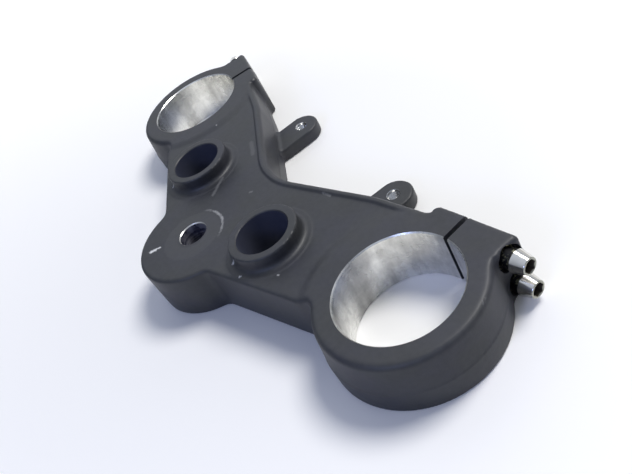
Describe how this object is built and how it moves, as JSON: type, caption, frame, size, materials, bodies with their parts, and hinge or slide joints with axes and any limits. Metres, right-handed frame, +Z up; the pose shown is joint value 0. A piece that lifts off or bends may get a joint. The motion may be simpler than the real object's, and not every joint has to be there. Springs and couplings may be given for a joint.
{
  "type": "motorcycle upper triple clamp",
  "caption": "Cast upper triple clamp with split fork-tube clamps, pinch bolts, raised handlebar riser bosses, a stem-bolt hole and tapped mounting lugs.",
  "frame": {"origin": "in the plane of the underside, midway between the centres of the two fork bores", "axes": "+X along the row of fork bores towards the right clamp, +Y towards the pinch slots and lugs and away from the steering stem, +Z up out of the riser bosses"},
  "size_m": [0.283, 0.1161, 0.0305],
  "materials": {
    "coated_aluminium": "dark satin powder coat over cast aluminium, with bare machined bores",
    "bolt_steel": "bright plated steel"
  },
  "bodies": {
    "root": {"clamp_body": "coated_aluminium", "pinch_bolt_right_upper": "bolt_steel", "pinch_bolt_right_lower": "bolt_steel", "pinch_bolt_left_upper": "bolt_steel", "pinch_bolt_left_lower": "bolt_steel"}
  },
  "joints": []
}
